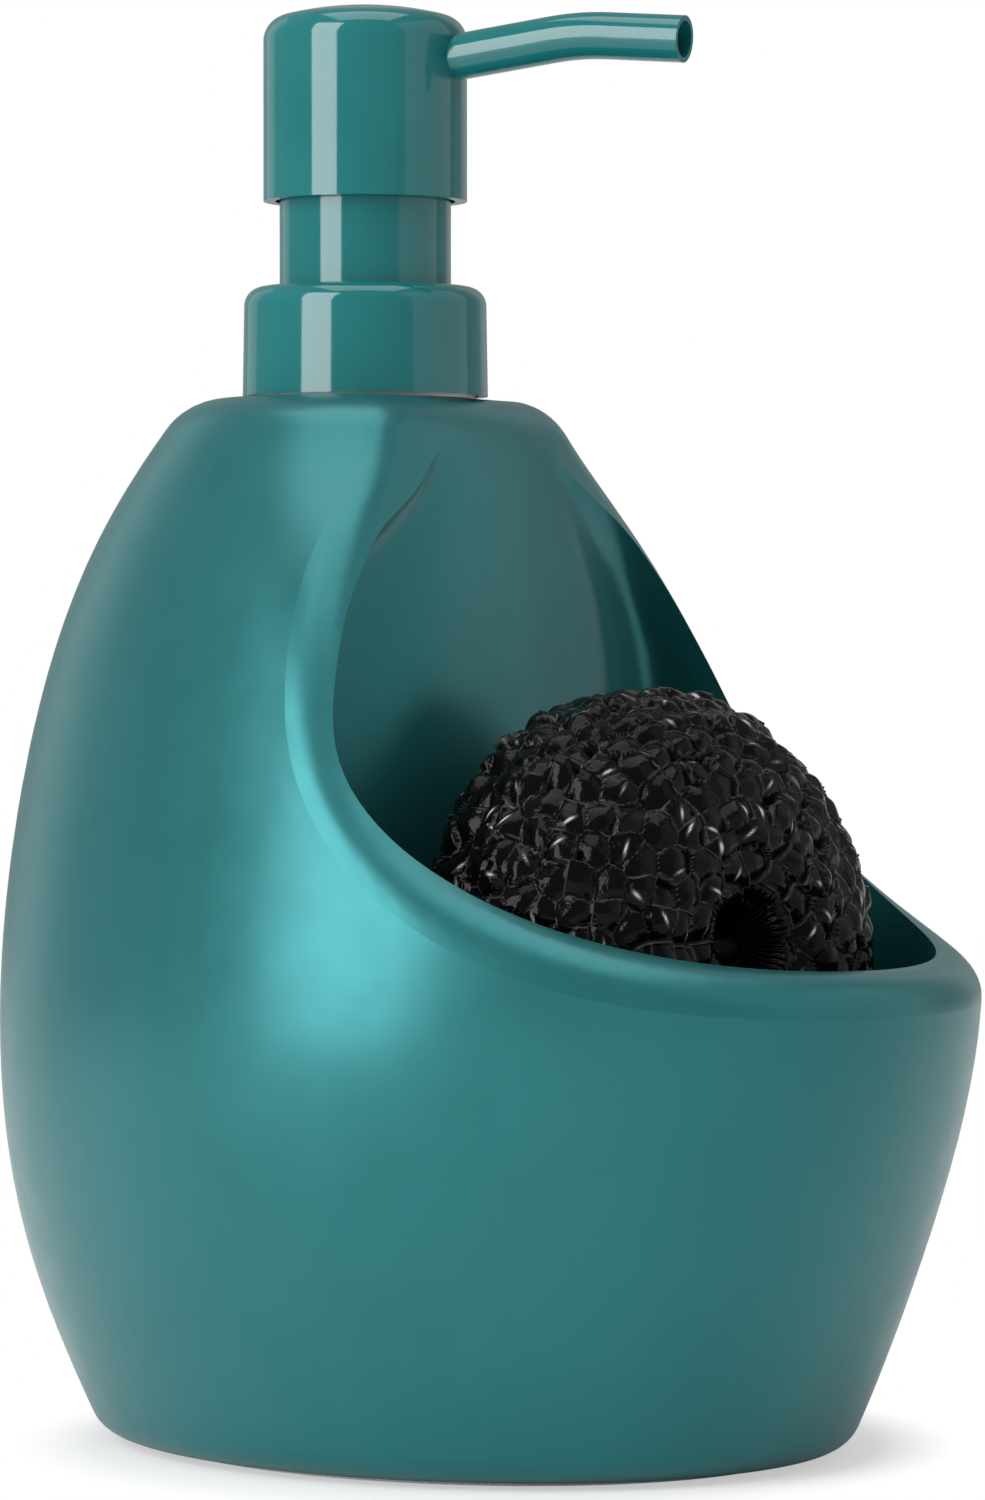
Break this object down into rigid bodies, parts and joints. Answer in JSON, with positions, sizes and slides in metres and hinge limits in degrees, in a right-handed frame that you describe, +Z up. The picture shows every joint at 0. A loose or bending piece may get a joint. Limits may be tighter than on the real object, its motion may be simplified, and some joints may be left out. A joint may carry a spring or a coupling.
{
  "type": "soap pump caddy",
  "caption": "Egg-shaped glazed ceramic soap dispenser with a hand pump on top and an open pocket scooped out of its front that holds a black mesh scrubber.",
  "frame": {"origin": "middle of the overall box, on the table under the base pad", "axes": "+Z up, -Y towards the front of the scrubber pocket, +X to the right seen from the front"},
  "size_m": [0.115, 0.1399, 0.1946],
  "materials": {
    "glaze": "smooth satin glaze",
    "pad": "matt",
    "gloss_teal": "high gloss",
    "white_plastic": "moulded",
    "seal": "soft",
    "clear_tube": "smooth",
    "steel": "bright",
    "mesh": "glossy facets",
    "tie": "thread"
  },
  "bodies": {
    "caddy": {"ceramic_body": "glaze", "base_pad": "pad", "neck_plug": "white_plastic", "plug_seal": "seal"},
    "pump_frame": {"pump_housing": "white_plastic", "neck_gasket": "seal", "ball_cage": "white_plastic", "dip_tube": "clear_tube", "guide_sleeve": "gloss_teal", "stem_guide": "white_plastic", "stem_wiper": "seal", "return_spring": "steel"},
    "collar": {"threaded_closure": "white_plastic", "collar_shell": "gloss_teal"},
    "piston": {"piston_seal": "white_plastic"},
    "head": {"stem": "white_plastic", "actuator_core": "white_plastic", "pump_head": "gloss_teal", "spout_tube": "gloss_teal"},
    "inlet_ball": {"inlet_ball": "steel"},
    "outlet_ball": {"outlet_ball": "steel"},
    "scrubber": {"scrubber": "mesh", "scrubber_tie": "tie"}
  },
  "joints": [
    {"name": "pump_rise", "type": "slide", "parent": "caddy", "child": "pump_frame", "axis": [0, 0, 1], "range_m": [0, 0.0048]},
    {"name": "collar_turn", "type": "hinge", "parent": "pump_frame", "child": "collar", "pos_m": [0, 0.02, 0.15], "axis": [0, 0, 1], "range_deg": [0, 541]},
    {"name": "head_press", "type": "slide", "parent": "pump_frame", "child": "piston", "axis": [0, 0, -1], "range_m": [0, 0.01], "stiffness_N_per_m": 900, "springref_m": -0.006, "deforming": ["return_spring"]},
    {"name": "head_swivel", "type": "hinge", "parent": "piston", "child": "head", "pos_m": [0, 0.02, 0.15], "axis": [0, 0, 1], "continuous": true},
    {"name": "inlet_ball_lift", "type": "slide", "parent": "pump_frame", "child": "inlet_ball", "axis": [0, 0, 1], "range_m": [0, 0.002]},
    {"name": "outlet_ball_lift", "type": "slide", "parent": "head", "child": "outlet_ball", "axis": [0, 0, 1], "range_m": [0, 0.002]},
    {"name": "scrubber_lift", "type": "slide", "parent": "caddy", "child": "scrubber", "axis": [0, 0, 1], "range_m": [0, 0.065]}
  ],
  "couplings": [
    {"joint": "collar_turn", "follows": "pump_rise", "rad_per_m": 1963.5}
  ]
}
